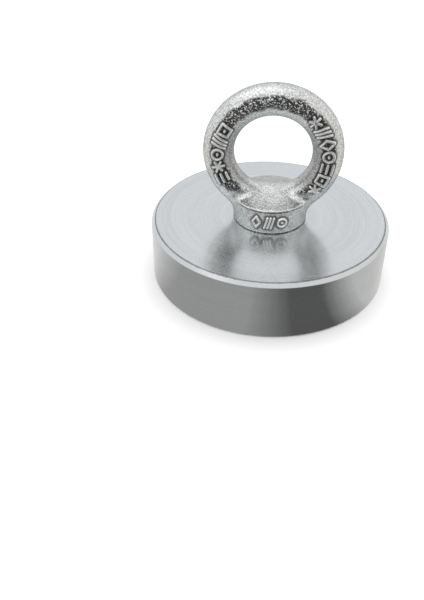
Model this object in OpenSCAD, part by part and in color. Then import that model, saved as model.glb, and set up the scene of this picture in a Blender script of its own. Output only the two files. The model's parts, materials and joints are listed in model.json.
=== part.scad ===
// Single-sided pot magnet with a lifting eye, for pulling steel out of water on a rope.
// The working face lies on Z = 0 and the eye stands on the Z axis, with its ring in the XZ plane.
// A turned steel casing carries a ring magnet in resin round a steel pole ring.
// The eye bolt passes down through the casing and is held by a washer, a spring washer and a nut,
// which sit inside the pole ring and are reached with a socket from the working face.

/* [Casing] */
// Outside diameter of the casing
pot_d = 80; // [66:1:120]
// Height of the casing
pot_h = 20.5; // [18:0.5:30]
// Thickness of the casing's side wall
pot_wall = 6; // [4:0.5:8]
// Thickness of the casing's back plate
back_t = 8; // [6:0.5:10]
// Thickness of the back plate that is left under the eye bolt, where the washers press
seat_t = 4.5; // [3.5:0.5:5.5]
// Chamfer round the top edge
top_chamfer = 1.25; // [0.5:0.25:2.5]
// Edge break round the working face
face_chamfer = 0.5; // [0.2:0.1:1.5]
// Play round the shank in the back plate's hole, on the radius
shank_play = 0.1; // [0.02:0.01:0.5]

/* [Magnet] */
// Bore of the pole ring, wide enough for a socket over the nut
socket_d = 25; // [24:0.5:30]
// Wall of the pole ring
pole_wall = 4.5; // [3:0.5:7]
// Width of the resin on each side of the magnet
resin_w = 1; // [0.5:0.1:2]
// Thickness of the adhesive between the magnet and the back plate
adhesive_t = 0.2; // [0.1:0.05:0.5]
// Depth of the magnet's face below the working face, so that the steel takes the knocks
magnet_recess = 0.3; // [0.1:0.1:1]

/* [Eye bolt] */
// Outside diameter of the eye
eye_d = 45; // [38:1:60]
// Diameter of the eye's round section
eye_section = 10; // [8:0.5:12]
// Height of the eye's lowest point above the collar's seat
eye_foot = 1; // [0.5:0.5:4]
// Diameter of the collar
collar_d = 24.5; // [20:0.5:30]
// Height of the collar at its edge
collar_h = 8; // [6:0.5:9.5]
// Rise of the collar's crown above its edge
collar_crown = 2.4; // [1:0.1:3]
// Edge break round the collar's seat
collar_chamfer = 0.4; // [0.2:0.1:1]
// Nominal diameter of the thread
thread_d = 10; // [8:1:12]
// Pitch of the thread
thread_pitch = 1.5; // [1:0.25:1.75]
// Length of the shank below the collar
shank_l = 17; // [15:0.5:20]
// Length of the plain relief between the collar and the thread
relief_l = 2.5; // [2:0.25:4]
// Depth of that relief below the thread's crest
relief_depth = 1; // [0.5:0.1:1.5]

/* [Washers and nut] */
// Play round the shank in the flat washer, on the radius
washer_play = 0.25; // [0.1:0.05:0.5]
// Outside diameter of the flat washer
washer_d = 20; // [18:0.5:23]
// Thickness of the flat washer
washer_t = 2; // [1:0.25:2.5]
// Play round the shank in the spring washer, on the radius
spring_play = 0.1; // [0.05:0.05:0.4]
// Width of the spring washer's section
spring_w = 4; // [3:0.25:4.5]
// Thickness of the spring washer when it is pressed flat
spring_t = 2.2; // [1.5:0.1:2.5]
// Width of the spring washer's split
spring_gap = 1; // [0.5:0.1:2]
// Slant of that split from upright
spring_slant = 25; // [0:5:35]
// Width of the nut across its flats
nut_flats = 17; // [15:0.5:18]
// Height of the nut
nut_h = 8; // [6:0.5:9]
// Play between the thread's crest and the nut's bore, on the radius
nut_play = 0.05; // [0.02:0.01:0.08]

/* [Hidden] */
$fn = 96;

// Casing
pot_r = pot_d / 2;
cavity_r = pot_r - pot_wall;
cavity_h = pot_h - back_t;
seat_z = pot_h - seat_t;
socket_r = socket_d / 2;
hole_r = thread_d / 2 + shank_play;

// Magnet, from the cavity's wall inwards
pole_r = socket_r + pole_wall;
magnet_out_r = cavity_r - resin_w;
magnet_in_r = pole_r + resin_w;
magnet_top = cavity_h - adhesive_t;

// Eye bolt, measured up from the collar's seat
section_r = eye_section / 2;
ring_r = eye_d / 2 - section_r;
ring_z = eye_foot + eye_d / 2;
collar_r = collar_d / 2;
crown_z = collar_h + collar_crown;
crown_r = (pow(collar_r, 2) + pow(collar_crown, 2)) / (2 * collar_crown);
crest_r = thread_d / 2;
root_r = crest_r - 0.6134 * thread_pitch;
relief_r = crest_r - relief_depth;
turns = floor((shank_l - relief_l) / thread_pitch);
overlap = 0.5;

// Stack under the back plate, from the seat down
washer_z = seat_z - washer_t;
spring_z = washer_z - spring_t;
nut_z = spring_z - nut_h;
nut_corner_r = nut_flats / 2 / cos(30);
nut_face_r = nut_flats / 2 * 0.97;
nut_chamfer = (nut_corner_r - nut_face_r) * tan(30);
nut_bore_r = crest_r + nut_play;
nut_lead = 0.7;

// A ring that stands on z, between two radii
module tube(outer, inner, z, h) {
    translate([0, 0, z])
        rotate_extrude()
            translate([inner, 0])
                square([outer - inner, h]);
}

// Turned cup, open at the working face, with a stepped recess and a hole for the shank
module pot_casing() {
    color([0.79, 0.80, 0.80])
        rotate_extrude()
            polygon([
                [hole_r, seat_z],
                [socket_r, seat_z],
                [socket_r, cavity_h],
                [cavity_r, cavity_h],
                [cavity_r, 0],
                [pot_r - face_chamfer, 0],
                [pot_r, face_chamfer],
                [pot_r, pot_h - top_chamfer],
                [pot_r - top_chamfer, pot_h],
                [hole_r, pot_h]
            ]);
}

// Steel sleeve that brings the flux down the middle and guards the nut
module pole_ring() {
    color([0.72, 0.73, 0.74])
        tube(pole_r, socket_r, 0, cavity_h);
}

module ring_magnet() {
    color([0.66, 0.65, 0.62])
        tube(magnet_out_r, magnet_in_r, magnet_recess, magnet_top - magnet_recess);
}

module magnet_adhesive() {
    color([0.85, 0.80, 0.62])
        tube(magnet_out_r, magnet_in_r, magnet_top, adhesive_t);
}

module outer_resin_seal() {
    color([0.12, 0.12, 0.13])
        tube(cavity_r, magnet_out_r, magnet_recess, cavity_h - magnet_recess);
}

module inner_resin_seal() {
    color([0.12, 0.12, 0.13])
        tube(magnet_in_r, pole_r, magnet_recess, cavity_h - magnet_recess);
}

// Round bar bent into the eye, its ring upright in the XZ plane
module eye_ring() {
    translate([0, 0, ring_z])
        rotate([90, 0, 0])
            rotate_extrude()
                translate([ring_r, 0])
                    circle(r = section_r);
}

// Round collar with a low crown, which the eye rises from
module eye_collar() {
    intersection() {
        union() {
            cylinder(r1 = collar_r - collar_chamfer, r2 = collar_r, h = collar_chamfer);
            translate([0, 0, collar_chamfer])
                cylinder(r = collar_r, h = crown_z - collar_chamfer + overlap);
        }
        translate([0, 0, crown_z - crown_r])
            sphere(r = crown_r);
    }
}

// One turn of the thread as a groove and a crest, from z upwards
function thread_turn(z) = [
    [root_r, z],
    [root_r, z + thread_pitch / 4],
    [crest_r, z + thread_pitch * 9 / 16],
    [crest_r, z + thread_pitch * 11 / 16]
];

// Shank with parallel grooves for the thread and a plain relief under the collar
module eye_shank() {
    thread_top = turns * thread_pitch - shank_l;
    rotate_extrude()
        polygon(concat(
            [[0, -shank_l]],
            [for (i = [0 : turns - 1]) each thread_turn(i * thread_pitch - shank_l)],
            [
                [root_r, thread_top],
                [relief_r, thread_top],
                [relief_r, overlap],
                [0, overlap]
            ]
        ));
}

module eye_bolt() {
    color([0.74, 0.75, 0.74])
        translate([0, 0, pot_h]) {
            eye_ring();
            eye_collar();
            eye_shank();
        }
}

module flat_washer() {
    color([0.76, 0.77, 0.76])
        tube(washer_d / 2, crest_r + washer_play, washer_z, washer_t);
}

// Split ring, shown pressed flat by the nut
module spring_washer() {
    inner = crest_r + spring_play;
    color([0.62, 0.63, 0.64])
        difference() {
            tube(inner + spring_w, inner, spring_z, spring_t);
            translate([inner + spring_w / 2, 0, spring_z + spring_t / 2])
                rotate([spring_slant, 0, 0])
                    cube([spring_w * 2, spring_gap, spring_t * 3], center = true);
        }
}

// Hexagon with its corners turned off at both ends and a lead-in at both ends of the bore
module hex_nut() {
    color([0.76, 0.77, 0.76])
        translate([0, 0, nut_z])
            difference() {
                intersection() {
                    cylinder(r = nut_corner_r, h = nut_h, $fn = 6);
                    rotate_extrude()
                        polygon([
                            [0, 0],
                            [nut_face_r, 0],
                            [nut_corner_r + overlap, nut_chamfer + overlap * tan(30)],
                            [nut_corner_r + overlap, nut_h - nut_chamfer - overlap * tan(30)],
                            [nut_face_r, nut_h],
                            [0, nut_h]
                        ]);
                }
                translate([0, 0, -overlap])
                    cylinder(r = nut_bore_r, h = nut_h + 2 * overlap);
                for (end = [0, 1])
                    translate([0, 0, end * nut_h])
                        mirror([0, 0, end])
                            translate([0, 0, -overlap])
                                cylinder(r1 = nut_bore_r + nut_lead + overlap,
                                         r2 = nut_bore_r, h = nut_lead + overlap);
            }
}

pot_casing();
pole_ring();
ring_magnet();
magnet_adhesive();
outer_resin_seal();
inner_resin_seal();
eye_bolt();
flat_washer();
spring_washer();
hex_nut();
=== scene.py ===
"""Dresses a single-sided pot magnet with a forged lifting eye over its frame, piece by piece."""
import json
import math
from types import SimpleNamespace

import bmesh
import bpy
from bpy.props import FloatProperty, FloatVectorProperty, IntProperty, PointerProperty
from bpy.types import Operator, Panel, PropertyGroup
from mathutils import Matrix, Vector
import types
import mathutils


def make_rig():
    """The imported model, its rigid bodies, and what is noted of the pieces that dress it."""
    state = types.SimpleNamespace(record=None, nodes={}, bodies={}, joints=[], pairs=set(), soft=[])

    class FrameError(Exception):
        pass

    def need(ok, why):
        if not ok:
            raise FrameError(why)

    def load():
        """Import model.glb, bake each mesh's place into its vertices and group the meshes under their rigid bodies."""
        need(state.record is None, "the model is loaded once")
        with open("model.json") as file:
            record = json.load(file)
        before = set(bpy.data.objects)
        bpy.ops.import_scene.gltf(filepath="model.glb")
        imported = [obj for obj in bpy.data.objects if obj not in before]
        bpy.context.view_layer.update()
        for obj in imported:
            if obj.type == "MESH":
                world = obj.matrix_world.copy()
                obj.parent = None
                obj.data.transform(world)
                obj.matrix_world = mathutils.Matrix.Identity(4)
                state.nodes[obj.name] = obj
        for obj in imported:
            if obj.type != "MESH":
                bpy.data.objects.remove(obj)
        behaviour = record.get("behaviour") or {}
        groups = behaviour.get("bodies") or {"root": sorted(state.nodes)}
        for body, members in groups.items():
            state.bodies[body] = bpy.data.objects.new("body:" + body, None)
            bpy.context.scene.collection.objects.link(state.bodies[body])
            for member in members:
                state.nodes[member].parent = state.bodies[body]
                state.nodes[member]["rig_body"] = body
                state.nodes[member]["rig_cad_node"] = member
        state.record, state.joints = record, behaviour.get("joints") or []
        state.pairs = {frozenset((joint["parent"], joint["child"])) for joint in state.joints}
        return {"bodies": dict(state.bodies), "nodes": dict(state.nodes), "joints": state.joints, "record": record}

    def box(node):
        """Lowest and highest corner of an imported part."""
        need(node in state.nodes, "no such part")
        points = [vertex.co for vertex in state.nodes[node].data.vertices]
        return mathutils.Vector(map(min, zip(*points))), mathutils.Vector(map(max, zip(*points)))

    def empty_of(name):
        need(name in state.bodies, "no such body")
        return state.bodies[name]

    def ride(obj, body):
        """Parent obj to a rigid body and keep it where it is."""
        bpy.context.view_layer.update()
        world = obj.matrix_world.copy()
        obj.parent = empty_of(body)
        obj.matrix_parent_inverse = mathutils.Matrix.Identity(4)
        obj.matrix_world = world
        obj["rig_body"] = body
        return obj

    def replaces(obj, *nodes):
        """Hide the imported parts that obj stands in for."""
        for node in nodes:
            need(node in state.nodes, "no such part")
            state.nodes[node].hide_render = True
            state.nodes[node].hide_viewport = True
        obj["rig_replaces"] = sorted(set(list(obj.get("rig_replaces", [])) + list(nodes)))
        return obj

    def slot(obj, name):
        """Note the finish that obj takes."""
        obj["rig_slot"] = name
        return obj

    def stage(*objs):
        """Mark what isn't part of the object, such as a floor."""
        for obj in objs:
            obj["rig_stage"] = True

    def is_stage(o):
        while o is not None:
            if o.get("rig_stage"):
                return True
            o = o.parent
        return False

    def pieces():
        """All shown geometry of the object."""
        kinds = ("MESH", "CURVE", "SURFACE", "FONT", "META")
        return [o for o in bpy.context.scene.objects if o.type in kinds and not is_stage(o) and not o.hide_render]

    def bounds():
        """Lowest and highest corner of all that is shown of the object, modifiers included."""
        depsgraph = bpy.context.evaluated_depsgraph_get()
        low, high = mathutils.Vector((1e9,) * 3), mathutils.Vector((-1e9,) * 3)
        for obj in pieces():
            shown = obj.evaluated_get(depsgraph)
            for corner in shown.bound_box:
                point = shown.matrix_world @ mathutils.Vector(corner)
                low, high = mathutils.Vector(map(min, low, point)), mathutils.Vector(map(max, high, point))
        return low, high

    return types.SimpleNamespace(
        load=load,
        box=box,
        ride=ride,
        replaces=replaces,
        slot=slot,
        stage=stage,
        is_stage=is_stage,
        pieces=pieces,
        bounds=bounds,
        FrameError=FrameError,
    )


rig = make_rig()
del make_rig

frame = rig.load()
CAD_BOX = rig.bounds()

bl_info = {
    "name": "Salvage magnet",
    "version": (1, 0, 0),
    "blender": (4, 5, 0),
    "location": "3D View > Sidebar > Salvage magnet",
    "description": "Builds the turned casing, the magnet and the forged lifting eye of a pot magnet",
    "category": "Add Mesh",
}

MM = 0.001
NEAR = MM / 100
WELD = MM / 5000
SIZE_FILE = "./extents.json"


# ---------------------------------------------------------------- sizes read from the frame

def corners(node):
    """Every vertex of a CAD node at rest, as vectors."""
    return [v.co for v in frame["nodes"][node].data.vertices]


def ring_sizes(node):
    """Inner and outer radius and lowest and highest point of a turned CAD node."""
    points = corners(node)
    radii = [math.hypot(p.x, p.y) for p in points]
    heights = [p.z for p in points]
    return min(radii), max(radii), min(heights), max(heights)


def measure_pot():
    """Radii and heights of the casing and of what is held in it."""
    hole_r, outer_r, face_z, top_z = ring_sizes("pot_casing")
    casing = [(math.hypot(p.x, p.y), p.z) for p in corners("pot_casing")]
    land_r = max(r for r, z in casing if z > top_z - NEAR)
    foot_r = max(r for r, z in casing if z < face_z + NEAR)
    pole_in, pole_out, _, cavity_z = ring_sizes("pole_ring")
    magnet_in, magnet_out, magnet_low, magnet_high = ring_sizes("ring_magnet")
    cavity_r = ring_sizes("outer_resin_seal")[1]
    washer_in, washer_out, washer_low, seat_z = ring_sizes("flat_washer")
    nut_low, nut_high = (corner.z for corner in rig.box("hex_nut"))
    nut_flats = 2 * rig.box("hex_nut")[1].y
    nut_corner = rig.box("hex_nut")[1].x
    return SimpleNamespace(**locals())


def measure_eye():
    """Radii and heights of the eye bolt."""
    low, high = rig.box("eye_bolt")
    outer_r = high.x
    centre_z = high.z - outer_r
    section_r = max(p.y for p in corners("eye_bolt") if p.z > centre_z)
    ring_r = outer_r - section_r
    collar_r = high.y
    seat_z = POT.top_z
    edge_break = collar_r - max(p.y for p in corners("eye_bolt") if p.z < seat_z + NEAR
                                and p.z > seat_z - NEAR)
    edge_z = max(p.z for p in corners("eye_bolt") if p.y > collar_r - NEAR) + edge_break
    thread_r = max(math.hypot(p.x, p.y) for p in corners("eye_bolt") if p.z < POT.seat_z)
    return SimpleNamespace(**locals())


POT = measure_pot()
EYE = measure_eye()


# ---------------------------------------------------------------- properties a user may change

def length(name, description, default):
    """A length property, in metres."""
    return FloatProperty(name=name, description=description, default=default, min=0.0,
                         precision=5, unit="LENGTH", subtype="DISTANCE")


def tint(name, description, default):
    """A colour property."""
    return FloatVectorProperty(name=name, description=description, default=default, size=3,
                               min=0.0, max=1.0, subtype="COLOR")


class MagnetSizes(PropertyGroup):
    """Sizes of the finer shapes that the frame leaves plain."""

    edge_break: length("Edge break", "Radius left on the turned edges", 0.12 * MM)
    magnet_edge: length("Magnet edge", "Radius left on the ground edges of the magnet", 0.4 * MM)
    resin_sag: length("Resin sag", "How far the resin's skin sinks between its walls", 0.25 * MM)
    segments: IntProperty(name="Turned segments", description="Faces round a turned piece",
                          default=240, min=48, max=480)
    crown_rise: length("Crown rise", "Rise of the collar's crown above its edge", 2.4 * MM)
    foot_blend: length("Foot blend", "Reach of the fillet where the ring meets the collar", 4.0 * MM)
    collar_edge: length("Collar edge", "Rounding of the collar's trimmed edge", 0.4 * MM)
    skin_cell: length("Skin cell", "Size of the faces on the forging", 0.46 * MM)
    thread_pitch: length("Thread pitch", "Rise of the thread in one turn", 1.5 * MM)
    thread_depth: length("Thread depth", "Depth of the thread from crest to root", 0.92 * MM)
    thread_play: length("Thread play", "Gap between the nut's thread and the shank's", 0.08 * MM)
    mark_height: length("Mark height", "How far the forging marks stand proud", 0.65 * MM)
    mark_stroke: length("Mark stroke", "Half the width of a mark's stroke", 0.17 * MM)
    mark_flank: length("Mark flank", "Width of the slope beside a mark's stroke", 0.34 * MM)
    scale_grain: length("Scale grain", "Height of the rough grain left by the dies", 0.08 * MM)


class MagnetColours(PropertyGroup):
    """Colours of the finishes."""

    casing: tint("Casing", "Turned and plated steel", (0.665, 0.69, 0.71))
    forging: tint("Forging", "Bright zinc on the eye bolt", (0.66, 0.675, 0.67))
    nickel: tint("Nickel", "Nickel plating on the magnet", (0.66, 0.64, 0.60))
    resin: tint("Resin", "Potting resin", (0.018, 0.018, 0.02))
    adhesive: tint("Adhesive", "Adhesive behind the magnet", (0.62, 0.52, 0.30))
    fastener: tint("Fasteners", "Bright zinc on the washer and nut", (0.70, 0.71, 0.72))
    spring: tint("Spring washer", "Dull zinc on spring steel", (0.42, 0.43, 0.44))
    floor: tint("Floor", "Pale floor", (0.98, 0.98, 0.98))


def sizes():
    return bpy.context.scene.magnet_sizes


def colours():
    return bpy.context.scene.magnet_colours


# ---------------------------------------------------------------- building node trees

class Builder:
    """Adds nodes to a tree in short calls. An input takes a socket or a plain value."""

    def __init__(self, tree):
        self.tree = tree

    def node(self, kind, inputs=None, **settings):
        made = self.tree.nodes.new(kind)
        for name, value in settings.items():
            setattr(made, name, value)
        for key, value in (inputs or {}).items():
            if isinstance(value, bpy.types.NodeSocket):
                self.tree.links.new(value, made.inputs[key])
            else:
                made.inputs[key].default_value = value
        return made

    def math(self, operation, *values, clamp=False):
        inputs = dict(enumerate(values))
        return self.node("ShaderNodeMath", inputs, operation=operation, use_clamp=clamp).outputs[0]

    def plus(self, *values, clamp=False):
        return self.math("ADD", *values, clamp=clamp)

    def minus(self, *values):
        return self.math("SUBTRACT", *values)

    def times(self, *values):
        return self.math("MULTIPLY", *values)

    def over(self, *values):
        return self.math("DIVIDE", *values)

    def vector(self, operation, *values):
        inputs = dict(enumerate(values))
        made = self.node("ShaderNodeVectorMath", inputs, operation=operation)
        return made.outputs["Value" if operation in ("LENGTH", "DOT_PRODUCT") else "Vector"]

    def combine(self, x, y, z):
        return self.node("ShaderNodeCombineXYZ", {0: x, 1: y, 2: z}).outputs[0]

    def length(self, x, y, z):
        return self.vector("LENGTH", self.combine(x, y, z))

    def split(self, vector):
        return self.node("ShaderNodeSeparateXYZ", {0: vector}).outputs

    def step(self, value, low, high, to_low=0.0, to_high=1.0):
        """A smooth step from to_low at low to to_high at high."""
        made = self.node("ShaderNodeMapRange", {0: value, 1: low, 2: high, 3: to_low, 4: to_high},
                         interpolation_type="SMOOTHSTEP")
        return made.outputs[0]

    def noise(self, vector, scale, detail=2.0, roughness=0.5):
        made = self.node("ShaderNodeTexNoise", {"Vector": vector, "Scale": scale,
                                                "Detail": detail, "Roughness": roughness})
        return made.outputs[0]

    def choose(self, switch, no, yes):
        """One of two numbers in a geometry tree."""
        return self.node("GeometryNodeSwitch", {"Switch": switch, "False": no, "True": yes},
                         input_type="FLOAT").outputs[0]

    def feed(self, node, values):
        """Joins sockets to a node's inputs."""
        for name, value in values.items():
            self.tree.links.new(value, node.inputs[name])

    def group(self, tree, inputs):
        kind = tree.bl_idname.replace("Tree", "Group")
        return self.node(kind, inputs, node_tree=tree).outputs


def new_tree(name, kind, inputs, outputs):
    """An empty node tree with named sockets: a builder, its input sockets and its output node."""
    tree = bpy.data.node_groups.new(name, kind)
    for direction, sockets in (("INPUT", inputs), ("OUTPUT", outputs)):
        for socket_name, socket_type, *default in sockets:
            socket = tree.interface.new_socket(socket_name, in_out=direction,
                                               socket_type="NodeSocket" + socket_type)
            if default:
                socket.default_value = default[0]
    return Builder(tree), tree.nodes.new("NodeGroupInput").outputs, tree.nodes.new("NodeGroupOutput")


def end_tree(b, geometry, material, out):
    """Ends a geometry tree in a plain mesh that carries its material."""
    real = b.node("GeometryNodeRealizeInstances", {0: geometry}).outputs[0]
    painted = b.node("GeometryNodeSetMaterial", {"Geometry": real, "Material": material})
    b.feed(out, {0: painted.outputs[0]})
    return b.tree


def grow(piece, tree, values):
    """Runs a geometry tree on a piece and keeps the result as the piece's plain mesh."""
    modifier = piece.modifiers.new(tree.name, "NODES")
    modifier.node_group = tree
    for item in tree.interface.items_tree:
        if item.item_type == "SOCKET" and item.in_out == "INPUT" and item.name in values:
            modifier[item.identifier] = values[item.name]
    seen = piece.evaluated_get(bpy.context.evaluated_depsgraph_get())
    mesh = bpy.data.meshes.new_from_object(seen)
    piece.modifiers.clear()
    piece.data = mesh
    return piece


def new_piece(name, vertices=(), edges=(), faces=()):
    """A mesh object at the origin, linked to the scene."""
    mesh = bpy.data.meshes.new(name)
    mesh.from_pydata([tuple(v) for v in vertices], list(edges), list(faces))
    piece = bpy.data.objects.new(name, mesh)
    bpy.context.scene.collection.objects.link(piece)
    return piece


def face_outwards(piece):
    """Turns a closed mesh's faces outwards and shades it smooth."""
    work = bmesh.new()
    work.from_mesh(piece.data)
    bmesh.ops.remove_doubles(work, verts=work.verts, dist=WELD)
    bmesh.ops.dissolve_degenerate(work, dist=WELD, edges=work.edges)
    if work.calc_volume(signed=True) < 0:
        bmesh.ops.reverse_faces(work, faces=work.faces)
    for face in work.faces:
        face.smooth = True
    work.to_mesh(piece.data)
    work.free()
    return piece


# ---------------------------------------------------------------- turned and threaded pieces

MERGE_GAP = MM / 2000
CREST_SHARE = 1 / 8
ROOT_SHARE = 3 / 4
HEXAGON_STARTS = 0.45
CORNER_EASE = 0.25 * MM
MOST_OF_SIDE = 0.45
LEAD_IN = 0.7 * MM
NUT_FACE_SHARE = 0.97
NUT_CHAMFER = math.radians(30)
RIM_STEP, SIDE_STEP, FACE_STEP = 0.12 * MM, 0.5 * MM, 0.8 * MM
SHANK_SEGMENTS = 96
NUT_SEGMENTS = 192
THREAD_STEP = 0.1 * MM


def turned_tree():
    """Turns an outline in the XZ plane about the Z axis, and cuts a thread or a hexagon on it."""
    b, given, out = new_tree("Turned piece", "GeometryNodeTree", [
        ("Outline", "Geometry"), ("Edge Radius", "Float", 0.0001), ("Edge Steps", "Int", 3),
        ("Segments", "Int", 240), ("Closed", "Int", 1), ("Thread Crest", "Float", 0.0),
        ("Thread Depth", "Float", 0.0), ("Thread Pitch", "Float", 0.0015),
        ("Internal Thread", "Bool", False), ("Across Flats", "Float", 0.0),
        ("Material", "Material")], [("Geometry", "Geometry")])
    outline = b.node("GeometryNodeMeshToCurve", {0: given["Outline"]})
    rounded = b.node("GeometryNodeFilletCurve", {
        "Curve": outline.outputs[0], "Count": given["Edge Steps"],
        "Radius": given["Edge Radius"], "Limit Radius": True}, mode="POLY")
    line = b.node("GeometryNodeCurveToMesh", {0: rounded.outputs[0]}).outputs[0]
    count = b.node("GeometryNodeAttributeDomainSize", {0: line}).outputs["Point Count"]
    rows = b.plus(given["Segments"], 1)
    grid = b.node("GeometryNodeMeshGrid", {"Vertices X": b.plus(count, given["Closed"]),
                                           "Vertices Y": rows}).outputs[0]
    index = b.node("GeometryNodeInputIndex").outputs[0]
    column = b.math("FLOOR", b.over(b.plus(index, 0.5), rows))
    row = b.minus(index, b.times(column, rows))
    turn = b.over(row, given["Segments"])
    angle = b.times(turn, math.tau)
    place = b.node("GeometryNodeInputPosition").outputs[0]
    sample = b.node("GeometryNodeSampleIndex", {
        "Geometry": line, "Value": place,
        "Index": b.math("MODULO", b.plus(column, 0.01), count)}, data_type="FLOAT_VECTOR")
    radius, _, height = b.split(sample.outputs[0])

    phase = b.math("FRACT", b.plus(b.minus(b.over(height, given["Thread Pitch"]), turn), 100.0))
    flank = b.times(b.math("ABSOLUTE", b.minus(phase, 0.5)), 2.0)
    groove = b.node("ShaderNodeMapRange", {0: flank, 1: CREST_SHARE, 2: ROOT_SHARE}).outputs[0]
    thread = b.minus(given["Thread Crest"], b.times(groove, given["Thread Depth"]))
    cut = b.choose(given["Internal Thread"], b.math("MINIMUM", radius, thread),
                   b.math("MAXIMUM", radius, thread))
    on_thread = b.times(b.math("GREATER_THAN", given["Thread Depth"], 0.0), b.math(
        "LESS_THAN", radius, b.plus(given["Thread Crest"], MM)))
    threaded = b.choose(on_thread, radius, cut)

    sixth = math.tau / 6
    side = b.minus(b.math("MODULO", angle, sixth), sixth / 2)
    flat = b.over(b.over(given["Across Flats"], 2.0), b.math("COSINE", side))
    on_hexagon = b.times(b.math("GREATER_THAN", given["Across Flats"], 0.0), b.math(
        "GREATER_THAN", threaded, b.times(given["Across Flats"], HEXAGON_STARTS)))
    eased = b.math("SMOOTH_MIN", threaded, flat, CORNER_EASE)
    hexagon = b.choose(on_hexagon, threaded, eased)

    position = b.combine(b.times(hexagon, b.math("COSINE", angle)),
                         b.times(hexagon, b.math("SINE", angle)), height)
    turned = b.node("GeometryNodeSetPosition", {"Geometry": grid, "Position": position})
    whole = b.node("GeometryNodeMergeByDistance", {"Geometry": turned.outputs[0],
                                                   "Distance": MERGE_GAP})
    return end_tree(b, whole.outputs[0], given["Material"], out)


def held(points, reach):
    """A closed outline with a point on each side of every corner, which keeps the flats flat."""
    kept = []
    for i, corner in enumerate(points):
        here = Vector(corner)
        before = Vector(points[i - 1]) - here
        after = Vector(points[(i + 1) % len(points)]) - here
        kept += [here + before * min(MOST_OF_SIDE, reach / before.length), here,
                 here + after * min(MOST_OF_SIDE, reach / after.length)]
    return kept


def straight(start, end, step):
    """Points from start up to end, a step apart, with end left out."""
    start, end = Vector(start), Vector(end)
    count = max(1, round((end - start).length / step))
    return [start.lerp(end, i / count) for i in range(count)]


def turned(name, outline, material, closed=True, edge=None, **values):
    """A turned piece from an outline of (radius, height) points."""
    points = [(p[0], 0.0, p[1]) for p in outline]
    count = len(points)
    edges = [(i, (i + 1) % count) for i in range(count if closed else count - 1)]
    piece = new_piece(name, points, edges)
    settings = {"Edge Radius": sizes().edge_break if edge is None else edge,
                "Segments": sizes().segments, "Closed": int(closed), "Material": material}
    settings.update(values)
    grow(piece, tree_named("Turned piece", turned_tree), settings)
    return face_outwards(piece)


def tree_named(name, make):
    """A tree by name, made the first time it is wanted."""
    return bpy.data.node_groups.get(name) or make()


# ---------------------------------------------------------------- the forged eye

SKIN_LEVEL = 2.0
SKIN_PASSES = 2
SLOPE_REACH = 0.02 * MM
LEAST_SLOPE = 0.2


def eye_distance_tree():
    """Signed distance from a point to the ring and the collar, blended where they meet."""
    b, given, out = new_tree("Eye distance", "GeometryNodeTree", [
        ("Point", "Vector"), ("Ring Radius", "Float"), ("Section Radius", "Float"),
        ("Ring Height", "Float"), ("Collar Radius", "Float"), ("Collar Base", "Float"),
        ("Crown Centre", "Float"), ("Crown Radius", "Float"), ("Foot Blend", "Float"),
        ("Collar Edge", "Float")], [("Distance", "Float")])
    x, y, z = b.split(given["Point"])
    upright = b.minus(z, given["Ring Height"])
    reach = b.minus(b.length(x, upright, 0.0), given["Ring Radius"])
    ring = b.minus(b.length(reach, y, 0.0), given["Section Radius"])
    wall = b.minus(b.length(x, y, 0.0), given["Collar Radius"])
    base = b.minus(given["Collar Base"], z)
    crown_point = b.combine(x, y, b.minus(z, given["Crown Centre"]))
    crown = b.minus(b.vector("LENGTH", crown_point), given["Crown Radius"])
    drum = b.math("SMOOTH_MAX", b.math("SMOOTH_MAX", wall, crown, given["Collar Edge"]),
                  base, given["Collar Edge"])
    blended = b.math("SMOOTH_MIN", ring, drum, given["Foot Blend"])
    b.feed(out, {0: b.math("MAXIMUM", blended, base)})
    return b.tree


def eye_tree():
    """Skins the blended ring and collar: a volume, its surface, and vertices drawn onto it."""
    distance = eye_distance_tree()
    shape = [item for item in distance.interface.items_tree
             if item.in_out == "INPUT" and item.name != "Point"]
    b, given, out = new_tree("Forged eye", "GeometryNodeTree", [
        ("Geometry", "Geometry"), ("Low Corner", "Vector"), ("High Corner", "Vector"),
        ("Cell", "Float", 0.0004), ("Material", "Material"),
        *((item.name, "Float", 0.0) for item in shape)], [("Geometry", "Geometry")])
    sized = {item.name: given[item.name] for item in shape}

    def distance_at(point):
        return b.group(distance, {"Point": point, **sized})[0]

    place = b.node("GeometryNodeInputPosition").outputs[0]
    depth = b.times(distance_at(place), -1 / MM)
    density = b.math("MAXIMUM", b.plus(depth, SKIN_LEVEL), 0.0)
    span = b.split(b.vector("SUBTRACT", given["High Corner"], given["Low Corner"]))
    counts = [b.math("CEIL", b.over(side, given["Cell"])) for side in span]
    volume = b.node("GeometryNodeVolumeCube", {
        "Density": b.math("MINIMUM", density, 2 * SKIN_LEVEL), "Background": 0.0,
        "Min": given["Low Corner"], "Max": given["High Corner"],
        "Resolution X": counts[0], "Resolution Y": counts[1], "Resolution Z": counts[2]})
    skin = b.node("GeometryNodeVolumeToMesh", {"Volume": volume.outputs[0], "Threshold": SKIN_LEVEL,
                                               "Adaptivity": 0.0}).outputs[0]
    for _ in range(SKIN_PASSES):
        eased = b.node("GeometryNodeBlurAttribute", {"Value": place, "Iterations": 3},
                       data_type="FLOAT_VECTOR").outputs[0]
        skin = b.node("GeometryNodeSetPosition", {"Geometry": skin, "Position": eased}).outputs[0]
        for _ in range(SKIN_PASSES):
            skin = drawn_on(b, skin, place, distance_at)
    return end_tree(b, skin, given["Material"], out)


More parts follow.
